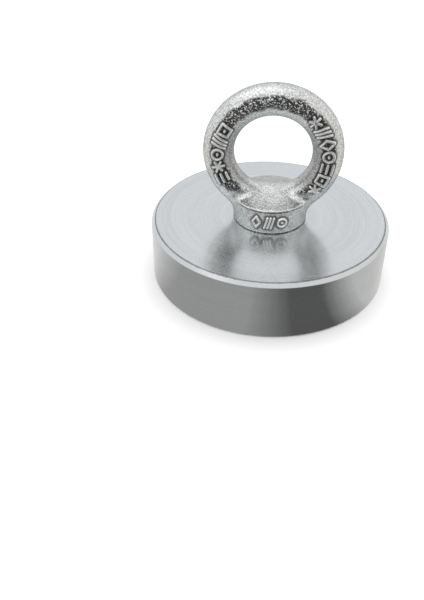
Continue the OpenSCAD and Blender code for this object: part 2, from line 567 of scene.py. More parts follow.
def drawn_on(b, skin, place, distance_at):
    """One step that moves each vertex along the distance's slope onto the surface."""
    here = distance_at(place)
    slopes = []
    for axis in ((SLOPE_REACH, 0, 0), (0, SLOPE_REACH, 0), (0, 0, SLOPE_REACH)):
        ahead = distance_at(b.vector("ADD", place, axis))
        behind = distance_at(b.vector("SUBTRACT", place, axis))
        slopes.append(b.over(b.minus(ahead, behind), 2 * SLOPE_REACH))
    slope = b.combine(*slopes)
    steepness = b.math("MAXIMUM", b.vector("DOT_PRODUCT", slope, slope), LEAST_SLOPE)
    along = b.node("ShaderNodeVectorMath", {
        0: slope, "Scale": b.over(b.times(here, -1.0), steepness)},
        operation="SCALE").outputs[0]
    return b.node("GeometryNodeSetPosition", {"Geometry": skin, "Offset": along}).outputs[0]


def arc(centre, radius, start, end, steps):
    """Points along an arc, with angles in degrees."""
    return [(centre[0] + radius * math.cos(math.radians(start + (end - start) * i / steps)),
             centre[1] + radius * math.sin(math.radians(start + (end - start) * i / steps)))
            for i in range(steps + 1)]


# Each mark is a list of strokes in millimetres, drawn in a cell about 3 wide and 4 tall.
def ringed_dot():
    return [arc((0, 0), 1.5, 0, 360, 18), [(-0.15, 0), (0.15, 0)]]


def slanted_bars():
    return [[(-1.6 + x, -1.9), (-0.6 + x, 1.9)] for x in (0, 1.1, 2.2)]


def lozenge():
    return [[(0, 2.0), (1.35, 0), (0, -2.0), (-1.35, 0), (0, 2.0)]]


def boxed_dot():
    return [[(-1.4, -1.5), (1.4, -1.5), (1.4, 1.5), (-1.4, 1.5), (-1.4, -1.5)], [(-0.15, 0), (0.15, 0)]]


def stacked_bars():
    return [[(-1.3, y), (1.3, y)] for y in (-1.5, 0.0, 1.5)]


def rayed_star():
    return [[(1.6 * math.cos(a), 1.6 * math.sin(a)), (-1.6 * math.cos(a), -1.6 * math.sin(a))]
            for a in (math.radians(30), math.radians(90), math.radians(150))]


LEFT_MARKS = (stacked_bars, rayed_star, ringed_dot, slanted_bars, boxed_dot)
RIGHT_MARKS = (rayed_star, slanted_bars, lozenge, ringed_dot, stacked_bars, boxed_dot, rayed_star)
COLLAR_MARKS = (lozenge, slanted_bars, ringed_dot)
MARK_SPACING = 4.2 * MM
LEFT_MIDDLE = math.radians(-88)
RIGHT_MIDDLE = math.radians(86)
COLLAR_SHEET = -0.1
RING_MARK_SCALE = 1.12
COLLAR_MARK_SCALE = 0.95
# Past this gap no mark is raised.
FAR_OFF = 9 * MM
COLLAR_FRONT = 6 * MM
COLLAR_REACH = 3.9 * MM
RING_CLEAR = (6 * MM, 8 * MM)
BAND_WANDER = 2.2 * MM
BAND_SHIFT = 1.1 * MM
BAND_EDGE = (1.5 * MM, 2.6 * MM)
SEAT_CLEAR = (-4.0 * MM, -3.2 * MM)
FULL_LIFT_TO = (5.5 * MM, 6.6 * MM)


def mark_sheet():
    """The marks laid out flat: those of the ring about Y = 0, those of the collar far below."""
    points, edges = [], []

    def lay(mark, x, y, scale):
        for stroke in mark():
            first = len(points)
            points.extend((x + scale * u * MM, y + scale * v * MM, 0.0) for u, v in stroke)
            edges.extend((i, i + 1) for i in range(first, len(points) - 1))

    for middle, marks in ((LEFT_MIDDLE, LEFT_MARKS), (RIGHT_MIDDLE, RIGHT_MARKS)):
        for i, mark in enumerate(marks):
            along = (i - (len(marks) - 1) / 2) * MARK_SPACING
            lay(mark, EYE.ring_r * middle + along, 0.0, RING_MARK_SCALE)
    middle = (len(COLLAR_MARKS) - 1) / 2
    for i, mark in enumerate(COLLAR_MARKS):
        lay(mark, (i - middle) * MARK_SPACING, COLLAR_SHEET, COLLAR_MARK_SCALE)
    return new_piece("mark_sheet", points, edges)


def marks_tree():
    """Raises the marks on the ring and the collar, and grains the band that the dies left."""
    b, given, out = new_tree("Forging marks", "GeometryNodeTree", [
        ("Geometry", "Geometry"), ("Sheet", "Object"), ("Ring Radius", "Float"),
        ("Ring Height", "Float"), ("Collar Radius", "Float"), ("Collar Middle", "Float"),
        ("Section Radius", "Float"), ("Mark Height", "Float"), ("Stroke", "Float"),
        ("Flank", "Float"), ("Grain", "Float"), ("Material", "Material")],
        [("Geometry", "Geometry")])
    place = b.node("GeometryNodeInputPosition").outputs[0]
    x, y, z = b.split(place)
    facing = b.math("SIGN", b.times(y, -1.0))
    upright = b.minus(z, given["Ring Height"])
    round_ring = b.math("ARCTAN2", b.times(x, facing), upright)
    reach = b.minus(b.length(x, upright, 0.0), given["Ring Radius"])
    across = b.times(b.math("ARCTAN2", reach, b.math("ABSOLUTE", y)),
                    given["Section Radius"])
    ring_point = b.combine(b.times(round_ring, given["Ring Radius"]), across, 0.0)
    round_collar = b.math("ARCTAN2", x, b.times(y, -1.0))
    collar_point = b.combine(
        b.times(round_collar, given["Collar Radius"]),
        b.plus(b.minus(z, given["Collar Middle"]), COLLAR_SHEET), 0.0)
    from_axis = b.length(x, y, 0.0)
    on_wall = b.step(from_axis, b.minus(given["Collar Radius"], 0.3 * MM),
                     b.minus(given["Collar Radius"], 0.05 * MM))
    below_crown = b.math("LESS_THAN", z, b.plus(given["Collar Middle"], COLLAR_REACH))
    in_front = b.math("GREATER_THAN", b.math("ABSOLUTE", y), COLLAR_FRONT)
    on_collar = b.times(b.times(on_wall, below_crown), in_front)
    clear_of_collar = b.step(b.minus(z, given["Collar Middle"]), *RING_CLEAR)
    on_ring = b.times(clear_of_collar, b.minus(1.0, on_collar))

    sheet = b.node("GeometryNodeObjectInfo", {"Object": given["Sheet"]},
                   transform_space="ORIGINAL").outputs["Geometry"]

    def gap_to_mark(point, share):
        gap = b.node("GeometryNodeProximity", {0: sheet, "Sample Position": point},
                     target_element="EDGES").outputs["Distance"]
        return b.plus(gap, b.times(b.minus(1.0, share), FAR_OFF))

    gap = b.math("MINIMUM", gap_to_mark(ring_point, on_ring), gap_to_mark(collar_point, on_collar))
    marks = b.step(gap, given["Stroke"], b.plus(given["Stroke"], given["Flank"]), 1.0, 0.0)

    wander = b.times(b.minus(b.noise(place, 380.0, 2.0), 0.5), BAND_WANDER)
    band_middle = b.times(b.math("COSINE", round_ring), BAND_SHIFT)
    edge_of_band = b.plus(b.math("ABSOLUTE", b.minus(across, band_middle)), wander)
    band = b.times(b.step(edge_of_band, *BAND_EDGE, 1.0, 0.0), on_ring)
    pits = b.minus(b.noise(place, 1500.0, 2.0, 0.6), 0.5)
    swell = b.minus(b.noise(place, 260.0, 2.0), 0.5)
    bare = b.times(band, b.minus(1.0, marks))
    grain = b.times(b.plus(b.times(pits, bare), b.times(swell, 0.5)), b.times(given["Grain"], 2.0))
    above_seat = b.step(b.minus(z, given["Collar Middle"]), *SEAT_CLEAR)
    lift = b.times(b.plus(grain, b.times(marks, given["Mark Height"])), above_seat)
    # The skin stays inside the ring's and the collar's own outline.
    lift = b.times(lift, b.step(b.math("ABSOLUTE", across), *FULL_LIFT_TO, 1.0, 0.35))
    normal = b.node("GeometryNodeInputNormal").outputs[0]
    offset = b.node("ShaderNodeVectorMath", {0: normal, "Scale": lift}, operation="SCALE").outputs[0]
    kept = given["Geometry"]
    for name, value in (("die_band", band), ("mark_gap", gap)):
        kept = b.node("GeometryNodeStoreNamedAttribute", {
            "Geometry": kept, "Name": name, "Value": value},
            data_type="FLOAT", domain="POINT").outputs[0]
    moved = b.node("GeometryNodeSetPosition", {"Geometry": kept, "Offset": offset}).outputs[0]
    return end_tree(b, moved, given["Material"], out)


def refine(piece, wanted, cuts):
    """Splits the edges of the faces whose middle is wanted."""
    work = bmesh.new()
    work.from_mesh(piece.data)
    edges = {edge for face in work.faces if wanted(face.calc_center_median())
             for edge in face.edges}
    bmesh.ops.subdivide_edges(work, edges=list(edges), cuts=cuts, use_grid_fill=True)
    bmesh.ops.triangulate(work, faces=[f for f in work.faces if len(f.verts) > 4])
    work.to_mesh(piece.data)
    work.free()


FINE_WIDTH = 3.0 * MM
FINE_FRONT = 0.7
FINE_COLLAR = (0.8 * MM, 0.3 * MM)


def near_marks(point):
    """Is this point of the eye on a stretch that carries marks or the rough band?"""
    upright = point.z - EYE.centre_z
    reach = math.hypot(point.x, upright) - EYE.ring_r
    across = math.atan2(reach, abs(point.y)) * EYE.section_r
    on_ring = point.z > EYE.edge_z + 1 * MM and abs(across) < FINE_WIDTH
    on_collar = (point.y < -FINE_FRONT * EYE.collar_r and point.z < EYE.edge_z + FINE_COLLAR[1]
                 and point.z > EYE.seat_z + FINE_COLLAR[0])
    return on_ring or on_collar


def eye_values():
    """The eye's own sizes, for its trees."""
    rise = sizes().crown_rise
    crown_r = (EYE.collar_r ** 2 + rise ** 2) / (2 * rise)
    return {"Ring Radius": EYE.ring_r, "Section Radius": EYE.section_r,
            "Ring Height": EYE.centre_z, "Collar Radius": EYE.collar_r,
            "Collar Base": EYE.seat_z, "Crown Centre": EYE.edge_z + rise - crown_r,
            "Crown Radius": crown_r, "Foot Blend": sizes().foot_blend,
            "Collar Edge": sizes().collar_edge}


# ---------------------------------------------------------------- shader groups

def grain_group():
    """Fine mottling: a value about a half, and a height."""
    b, given, out = new_tree("Fine grain", "ShaderNodeTree", [
        ("Vector", "Vector"), ("Scale", "Float", 1000.0), ("Contrast", "Float", 1.0)],
        [("Value", "Float"), ("Height", "Float")])
    fine = b.noise(given["Vector"], given["Scale"], 4.0, 0.6)
    value = b.plus(b.times(b.minus(fine, 0.5), given["Contrast"]), 0.5,
                   clamp=True)
    b.feed(out, {"Value": value, "Height": fine})
    return b.tree


def lathe_group():
    """Tool lines left by turning: rings on a face, and lines round a wall."""
    b, given, out = new_tree("Lathe lines", "ShaderNodeTree", [
        ("Vector", "Vector"), ("Pitch", "Float", 0.0003), ("Unevenness", "Float", 0.5),
        ("Drift", "Float", 30.0)],
        [("Value", "Float"), ("Height", "Float")])
    x, y, z = b.split(given["Vector"])
    radius = b.length(x, y, 0.0)
    travel = b.plus(radius, z)
    cuts = b.over(travel, given["Pitch"])
    east, north = (b.times(side, given["Drift"]) for side in (x, y))
    broad = b.noise(b.combine(b.times(cuts, 0.11), east, north), 1.0, 3.0)
    narrow = b.noise(b.combine(cuts, b.times(east, 3.0), b.times(north, 3.0)), 1.0, 2.0)
    value = b.plus(b.times(broad, given["Unevenness"]), b.times(narrow, b.minus(1.0, given["Unevenness"])))
    b.feed(out, {"Value": value, "Height": b.plus(narrow, broad)})
    return b.tree


def wear_group():
    """A ragged mask near a turned edge at a given radius and height, for edge wear and for painted shade lines."""
    b, given, out = new_tree("Edge wear", "ShaderNodeTree", [
        ("Vector", "Vector"), ("Edge Radius", "Float"), ("Edge Height", "Float"),
        ("Width", "Float", 0.0005)], [("Mask", "Float")])
    x, y, z = b.split(given["Vector"])
    away = b.combine(b.minus(b.length(x, y, 0.0),
                            given["Edge Radius"]),
                     b.minus(z, given["Edge Height"]), 0.0)
    ragged = b.times(b.noise(given["Vector"], 900.0, 3.0), given["Width"])
    mask = b.step(b.plus(b.vector("LENGTH", away), ragged), given["Width"],
                  b.times(given["Width"], 1.6), 1.0, 0.0)
    b.feed(out, {"Mask": mask})
    return b.tree


def scratch_group():
    """Sparse hairline scratches that run every way: a mask."""
    b, given, out = new_tree("Hairlines", "ShaderNodeTree", [
        ("Vector", "Vector"), ("Scale", "Float", 120.0), ("Amount", "Float", 0.02)],
        [("Mask", "Float")])
    masks = []
    for turn in (0.4, 1.7, 2.6):
        mapped = b.node("ShaderNodeMapping", {
            "Vector": given["Vector"], "Rotation": (0.3 * turn, 0.2, turn),
            "Scale": (1.0, 0.06, 1.0)}).outputs[0]
        line = b.noise(mapped, b.times(given["Scale"], 12.0), 1.0)
        near = b.math("ABSOLUTE", b.minus(line, 0.5))
        thin = b.step(near, 0.0, given["Amount"], 1.0, 0.0)
        patch = b.step(b.noise(mapped, given["Scale"], 0.0), 0.56, 0.66)
        masks.append(b.times(thin, patch))
    b.feed(out, {"Mask": b.math("MAXIMUM", b.math("MAXIMUM", masks[0], masks[1]), masks[2])})
    return b.tree


def new_material(name, **settings):
    """A material with a Principled shader whose constant sockets are set: builder and shader."""
    material = bpy.data.materials.new(name)
    material.use_nodes = True
    shader = material.node_tree.nodes["Principled BSDF"]
    for key, value in settings.items():
        shader.inputs[key.replace("_", " ")].default_value = value
    return material, Builder(material.node_tree), shader


def in_place(b):
    """Object coordinates."""
    return b.node("ShaderNodeTexCoord").outputs["Object"]


def mixed(b, factor, low, high):
    """A colour between two."""
    made = b.node("ShaderNodeMix", {"Factor": factor}, data_type="RGBA")
    for socket, value in ((made.inputs[6], low), (made.inputs[7], high)):
        if isinstance(value, bpy.types.NodeSocket):
            b.tree.links.new(value, socket)
        else:
            socket.default_value = value
    return made.outputs[2]


def shade(colour, factor):
    """A colour scaled in brightness, with alpha."""
    return tuple(min(1.0, c * factor) for c in colour) + (1.0,)


def bumped(b, height, strength, distance):
    return b.node("ShaderNodeBump", {"Strength": strength, "Distance": distance,
                                     "Height": height}).outputs[0]


EDGE_WEAR = 0.35 * MM
SIDE_STARTS = (1.1 * MM, 1.35 * MM)
# The painted shadow round the foot of a mark: how far out it starts, is full, starts to fade and ends.
MOAT = (0.28 * MM, 0.48 * MM, 0.8 * MM, 1.4 * MM)
# Two painted shade lines round the collar, under its trimmed edge and where it meets the casing: where each runs and
# how wide it is.
COLLAR_LINES = ((EYE.edge_z - 0.55 * MM, 0.22 * MM), (EYE.seat_z, 0.32 * MM))
# Painted shade inside the eye's lower legs: how far in from the ring's middle it reaches, where it fades out towards
# the crown, and where it starts above the collar.
DULL_INSIDE = 3.5 * MM
DULL_TOP = (EYE.centre_z + 12 * MM, EYE.centre_z + 6 * MM)
DULL_FOOT = (EYE.edge_z + 3 * MM, EYE.edge_z + 7 * MM)


def grained(b, where, scale, contrast):
    """Fine grain laid on a material: its value and its height."""
    return b.group(tree_named("Fine grain", grain_group), {
        "Vector": where, "Scale": scale, "Contrast": contrast})


def worn(b, where, radius, height, width):
    """The mask along a turned edge, for wear and for painted shade lines."""
    return b.group(tree_named("Edge wear", wear_group), {
        "Vector": where, "Edge Radius": radius, "Edge Height": height, "Width": width})["Mask"]


def scratched(b, where, scale):
    """Where hairlines run."""
    return b.group(tree_named("Hairlines", scratch_group), {
        "Vector": where, "Scale": scale})["Mask"]


def casing_material():
    """Turned, plated steel: rings on the back plate, finer lines round the side."""
    colour = colours().casing
    material, b, shader = new_material("turned_casing_steel", Metallic=1.0, Anisotropic=0.45,
                                       Anisotropic_Rotation=0.25)
    where = in_place(b)
    lines = b.group(tree_named("Lathe lines", lathe_group), {
        "Vector": where, "Pitch": 0.36 * MM, "Unevenness": 0.5, "Drift": 14.0})
    grain = grained(b, where, 1500.0, 1.2)
    wear = worn(b, where, POT.land_r, POT.top_z, EDGE_WEAR)
    scratches = scratched(b, where, 120.0)
    on_side = b.step(b.split(where)[2], *(POT.top_z - down for down in SIDE_STARTS))
    tone = b.plus(b.times(lines["Value"], 0.7), b.times(grain["Value"], 0.3))
    plain = mixed(b, b.step(tone, 0.3, 0.7), shade(colour, 0.9), shade(colour, 1.06))
    # The side of the casing is painted darker than its back plate: painted shade.
    darker = mixed(b, on_side, plain, mixed(b, 0.5, plain, shade(colour, 0.62)))
    rough = b.plus(b.times(on_side, -0.05), b.plus(0.15, b.times(tone, 0.15)))
    tangent = b.node("ShaderNodeTangent", direction_type="RADIAL", axis="Z").outputs[0]
    height = b.minus(b.plus(lines["Height"], b.times(grain["Height"], 0.12)),
                     b.times(scratches, 0.35))
    height = b.times(height, b.minus(1.0, b.times(on_side, 0.8)))
    b.feed(shader, {
        "Base Color": mixed(b, wear, darker, shade(colour, 0.4)),
        "Roughness": b.plus(rough, b.times(scratches, 0.12)),
        "Tangent": tangent, "Normal": bumped(b, height, 1.0, 0.014 * MM)})
    return material


def forging_material():
    """Bright zinc over a forging: smooth where it was trimmed, dark and sparkling in the band."""
    colour = colours().forging
    material, b, shader = new_material("zinc_forging", Metallic=1.0,
                                       Specular_Tint=(0.6, 0.6, 0.6, 1.0))
    where = in_place(b)
    band = b.node("ShaderNodeAttribute", attribute_name="die_band").outputs["Fac"]
    gap = b.node("ShaderNodeAttribute", attribute_name="mark_gap").outputs["Fac"]
    crest = b.step(gap, sizes().mark_stroke, sizes().mark_stroke + sizes().mark_flank, 1.0, 0.0)
    moat = b.times(b.step(gap, *MOAT[:2]), b.step(gap, *MOAT[2:], 1.0, 0.0))
    fine, middling, broad = (grained(b, where, scale, contrast) for scale, contrast in (
        (1800.0, 4.4), (900.0, 2.6), (330.0, 2.0)))
    scratches = scratched(b, where, 160.0)
    lines = [worn(b, where, EYE.collar_r, height, width) for height, width in COLLAR_LINES]
    tone = b.plus(b.times(fine["Value"], 0.6), b.plus(
        b.times(middling["Value"], 0.2), b.times(broad["Value"], 0.2)))
    plain = mixed(b, tone, shade(colour, 0.6), shade(colour, 1.42))
    x, _, z = b.split(where)
    out_from_eye = b.length(x, 0.0, b.minus(z, EYE.centre_z))
    # The inner half of the ring's lower legs is painted darker: painted shade.
    dull = b.times(b.step(out_from_eye, EYE.ring_r, EYE.ring_r - DULL_INSIDE), b.times(
        b.step(z, *DULL_TOP), b.step(z, *DULL_FOOT)))
    plain = mixed(b, b.times(dull, 0.38), plain, shade(colour, 0.25))
    specks = b.step(b.plus(b.times(middling["Value"], 0.15), b.times(fine["Value"], 0.85)), 0.58, 0.9)
    rough_tone = mixed(b, specks, shade(colour, 0.06), shade(colour, 1.4))
    skin = mixed(b, b.times(band, 0.94), plain, rough_tone)
    # A painted shadow round the foot of each mark.
    skin = mixed(b, b.times(moat, 0.75), skin, shade(colour, 0.08))
    # The crests of the marks are painted lighter: a painted highlight.
    skin = mixed(b, crest, skin, shade(colour, 1.4))
    # Painted shade under the collar's trimmed edge and where the collar meets the casing.
    skin = mixed(b, b.math("MAXIMUM", *lines), skin, shade(colour, 0.2))
    rough = b.plus(b.plus(0.11, b.times(tone, 0.17)), b.times(scratches, 0.1))
    coarse = b.times(b.times(band, b.minus(1.0, crest)), 1.7)
    even = b.minus(0.5, b.times(crest, 0.35))
    height = b.plus(b.times(fine["Height"], b.plus(even, coarse)), b.plus(
        b.times(middling["Height"], b.plus(0.25, coarse)), b.times(broad["Height"], 0.5)))
    b.feed(shader, {"Base Color": skin, "Roughness": rough,
                    "Normal": bumped(b, height, 1.0, 0.2 * MM)})
    return material


def plated_material(name, colour, roughness, contrast, edge_radius, edge_height):
    """Plated steel with grain, rubbed bright at its outer edge."""
    material, b, shader = new_material(name, Metallic=1.0)
    where = in_place(b)
    grain = grained(b, where, 1300.0, contrast)
    wear = worn(b, where, edge_radius, edge_height, EDGE_WEAR)
    scratches = scratched(b, where, 200.0)
    plain = mixed(b, grain["Value"], shade(colour, 0.84), shade(colour, 1.12))
    rubbed = b.math("MAXIMUM", wear, b.times(scratches, 0.5))
    height = b.minus(grain["Height"], b.times(scratches, 0.6))
    b.feed(shader, {
        "Base Color": mixed(b, rubbed, plain, shade(colour, 1.3)),
        "Roughness": b.plus(roughness, b.times(grain["Value"], 0.16)),
        "Normal": bumped(b, height, 0.4, 0.02 * MM)})
    return material


def resin_material():
    """Poured black resin with fine dust and a few small bubbles."""
    colour = colours().resin
    material, b, shader = new_material("potting_resin", Coat_Weight=0.4)
    where = in_place(b)
    grain = grained(b, where, 800.0, 2.2)
    bubbles = b.node("ShaderNodeTexVoronoi", {"Vector": where, "Scale": 900.0}).outputs[0]
    pits = b.step(bubbles, 0.08, 0.2)
    b.feed(shader, {
        "Base Color": mixed(b, grain["Value"], shade(colour, 0.7), shade(colour, 2.2)),
        "Roughness": b.plus(0.16, b.times(grain["Value"], 0.25)),
        "Normal": bumped(b, b.plus(pits, grain["Height"]), 0.3, 0.03 * MM)})
    return material


def adhesive_material():
    """Amber adhesive, squeezed out thin."""
    colour = colours().adhesive
    material, b, shader = new_material("magnet_adhesive")
    grain = grained(b, in_place(b), 700.0, 1.5)
    b.feed(shader, {
        "Base Color": mixed(b, grain["Value"], shade(colour, 0.8), shade(colour, 1.15)),
        "Roughness": b.plus(0.3, b.times(grain["Value"], 0.2)),
        "Normal": bumped(b, grain["Height"], 0.3, 0.03 * MM)})
    return material


def floor_material():
    """Pale paper, very slightly uneven."""
    colour = colours().floor
    material, b, shader = new_material("pale_floor")
    grain = grained(b, in_place(b), 300.0, 1.0)
    b.feed(shader, {
        "Base Color": mixed(b, grain["Value"], shade(colour, 0.995), shade(colour, 1.005)),
        "Roughness": b.plus(0.75, b.times(grain["Value"], 0.1))})
    return material



# ---------------------------------------------------------------- operators, one for each piece

# The reflected room: degrees round the magnet from its front, and how pale it is.
ROOM_TONES = ((-180, 0.9), (-90, 0.9), (-60, 0.5), (-10, 0.5), (15, 0.15), (35, 0.15), (60, 0.8),
              (180, 0.9))


ROOM_STEP = 5
WALL_FROM, WALL_TO = -65, 120
WALL_ROWS = 8
# The wall grows paler above a share of its height.
PALE_ABOVE = 0.3
PALE_GAIN = 1.4
PALEST = 0.95
FLOOR_REACH = 3.0
DAYLIGHT = 0.92
LIGHTS_AIM = Vector((0, 0, 0.03))


def room_tone(bearing):
    """How pale the room is in a direction, between the two nearest of its tones."""
    for (low, low_tone), (high, high_tone) in zip(ROOM_TONES, ROOM_TONES[1:]):
        if bearing <= high:
            return low_tone + (high_tone - low_tone) * (bearing - low) / (high - low)
    return ROOM_TONES[-1][1]


def finish(piece, body, slot, *nodes):
    """Rides a piece on its body, names its finish and lets it stand for CAD nodes."""
    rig.ride(piece, body)
    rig.slot(piece, slot)
    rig.replaces(piece, *nodes)


class MAGNET_OT_camera(Operator):
    """Places the camera above the front of the magnet"""

    bl_idname = "magnet.camera"
    bl_label = "Camera"

    elevation: FloatProperty(name="Elevation", description="Height of the camera above the horizon",
                             default=math.radians(31.34), unit="ROTATION", subtype="ANGLE")
    distance: length("Distance", "From the camera to the middle of the back plate", 248.5 * MM)
    yaw: FloatProperty(name="Yaw", description="How far the aim is turned sideways",
                       default=math.radians(-4.19), unit="ROTATION", subtype="ANGLE")
    pitch: FloatProperty(name="Pitch", description="How far the aim is raised",
                         default=math.radians(6.84), unit="ROTATION", subtype="ANGLE")
    roll: FloatProperty(name="Roll", description="How far the camera leans",
                        default=math.radians(-2.74), unit="ROTATION", subtype="ANGLE")
    lens: FloatProperty(name="Lens", description="Focal length in millimetres", default=43.41)

    def execute(self, context):
        target = Vector((0.0, 0.0, 20 * MM))
        back = Vector((0.0, -math.cos(self.elevation), math.sin(self.elevation)))
        right = (-back).cross(Vector((0, 0, 1))).normalized()
        up = right.cross(-back)
        aim = Matrix((right, up, back))
        aim = (Matrix.Rotation(self.roll, 3, "Z") @ Matrix.Rotation(self.pitch, 3, "X")
               @ Matrix.Rotation(self.yaw, 3, "Y") @ aim)
        data = bpy.data.cameras.new("camera")
        data.lens = self.lens
        data.clip_start, data.clip_end = 10 * MM, 20.0
        camera = bpy.data.objects.new("camera", data)
        camera.matrix_world = Matrix.LocRotScale(
            target + back * self.distance, aim.transposed().to_quaternion(), None)
        context.scene.collection.objects.link(camera)
        context.scene.camera = camera
        return {"FINISHED"}


class MAGNET_OT_casing(Operator):
    """Turns the casing with its recess for the magnet and the nut"""

    bl_idname = "magnet.casing"
    bl_label = "Casing"

    def execute(self, context):
        top_break = POT.outer_r - POT.land_r
        foot_break = POT.outer_r - POT.foot_r
        outline = [
            (POT.hole_r, POT.seat_z), (POT.pole_in, POT.seat_z), (POT.pole_in, POT.cavity_z),
            (POT.cavity_r, POT.cavity_z), (POT.cavity_r, POT.face_z), (POT.foot_r, POT.face_z),
            (POT.outer_r, POT.face_z + foot_break), (POT.outer_r, POT.top_z - top_break),
            (POT.land_r, POT.top_z), (POT.hole_r, POT.top_z)]
        piece = turned("turned_casing", held(outline, 2.5 * sizes().edge_break), casing_material())
        finish(piece, "pot", "casing_steel", "pot_casing")
        return {"FINISHED"}


class MAGNET_OT_core(Operator):
    """Makes the pole ring, the ring magnet and the resin and adhesive that hold it"""

    bl_idname = "magnet.core"
    bl_label = "Magnet and pole ring"

    def execute(self, context):
        pole = turned("pole_sleeve", held([
            (POT.pole_in, POT.cavity_z), (POT.pole_in, 0.0), (POT.pole_out, 0.0),
            (POT.pole_out, POT.cavity_z)], 3 * sizes().edge_break),
            plated_material("pole_ring_steel", colours().fastener, 0.2, 1.0, POT.pole_in, 0.0))
        finish(pole, "pot", "casing_steel", "pole_ring")
        magnet = turned("nickel_magnet", held([
            (POT.magnet_in, POT.magnet_high), (POT.magnet_in, POT.magnet_low),
            (POT.magnet_out, POT.magnet_low), (POT.magnet_out, POT.magnet_high)],
            1.2 * sizes().magnet_edge),
            plated_material("nickel_plating", colours().nickel, 0.16, 0.8, POT.magnet_out,
                            POT.magnet_low), edge=sizes().magnet_edge)
        finish(magnet, "pot", "nickel_plate", "ring_magnet")
        resin = resin_material()
        for name, node, inner, outer in (
                ("outer_resin", "outer_resin_seal", POT.magnet_out, POT.cavity_r),
                ("inner_resin", "inner_resin_seal", POT.pole_out, POT.magnet_in)):
            piece = turned(name, self.seal_outline(inner, outer), resin, edge=0.0)
            finish(piece, "pot", "resin", node)
        adhesive = frame["nodes"]["magnet_adhesive"]
        adhesive.data.materials.clear()
        adhesive.data.materials.append(adhesive_material())
        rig.slot(adhesive, "adhesive")
        return {"FINISHED"}

    @staticmethod
    def seal_outline(inner, outer):
        """Resin between two walls, its skin sunk in the middle and climbing at both sides."""
        count = 10
        skin = []
        for i in range(count + 1):
            share = i / count
            sunk = sizes().resin_sag * (1 - (2 * share - 1) ** 2)
            skin.append((inner + (outer - inner) * share, POT.magnet_low + sunk))
        return [(inner, POT.cavity_z), *skin, (outer, POT.cavity_z)]


class MAGNET_OT_eye_bolt(Operator):
    """Forges the eye and collar, raises their marks and cuts the threaded shank"""

    bl_idname = "magnet.eye_bolt"
    bl_label = "Eye bolt"

    def execute(self, context):
        material = forging_material()
        margin = Vector((1, 1, 1)) * 2 * MM
        values = eye_values()
        eye = new_piece("forged_eye", [(0, 0, EYE.centre_z)])
        low = Vector((EYE.low.x, EYE.low.y, EYE.seat_z)) - margin
        grow(eye, eye_tree(), {
            **values, "Low Corner": tuple(low), "High Corner": tuple(EYE.high + margin),
            "Cell": sizes().skin_cell, "Material": material})
        refine(eye, near_marks, 2)
        sheet = mark_sheet()
        grow(eye, marks_tree(), {
            **values, "Sheet": sheet, "Collar Middle": (EYE.seat_z + EYE.edge_z) / 2,
            "Mark Height": sizes().mark_height, "Stroke": sizes().mark_stroke,
            "Flank": sizes().mark_flank, "Grain": sizes().scale_grain, "Material": material})
        bpy.data.objects.remove(sheet)
        face_outwards(eye)
        finish(eye, "eyebolt", "zinc_forging", "eye_bolt")
        shank = self.shank()
        finish(shank, "eyebolt", "zinc_forging", "eye_bolt")
        return {"FINISHED"}

    @staticmethod
    def shank():
        """The threaded shank, from its faced end up into the collar."""
        depth = sizes().thread_depth
        root_r = EYE.thread_r - depth
        tip_z = EYE.low.z
        relief_z = EYE.seat_z - 2.5 * MM
        neck_r = EYE.thread_r - 1 * MM
        inside_z = EYE.seat_z + 1 * MM
        outline = [Vector((0, tip_z)), Vector((root_r - 0.3 * MM, tip_z))]
        outline += straight((root_r, tip_z), (EYE.thread_r, tip_z + depth), THREAD_STEP)
        outline += straight((EYE.thread_r, tip_z + depth), (EYE.thread_r, relief_z), THREAD_STEP)
        outline += [Vector(point) for point in (
            (neck_r, relief_z), (neck_r, inside_z), (0, inside_z))]
        material = plated_material("shank_zinc", colours().forging, 0.24, 1.2, root_r, tip_z)
        return turned("threaded_shank", outline, material, closed=False, edge=0.0, **{
            "Segments": SHANK_SEGMENTS, "Thread Crest": EYE.thread_r, "Thread Depth": depth,
            "Thread Pitch": sizes().thread_pitch})


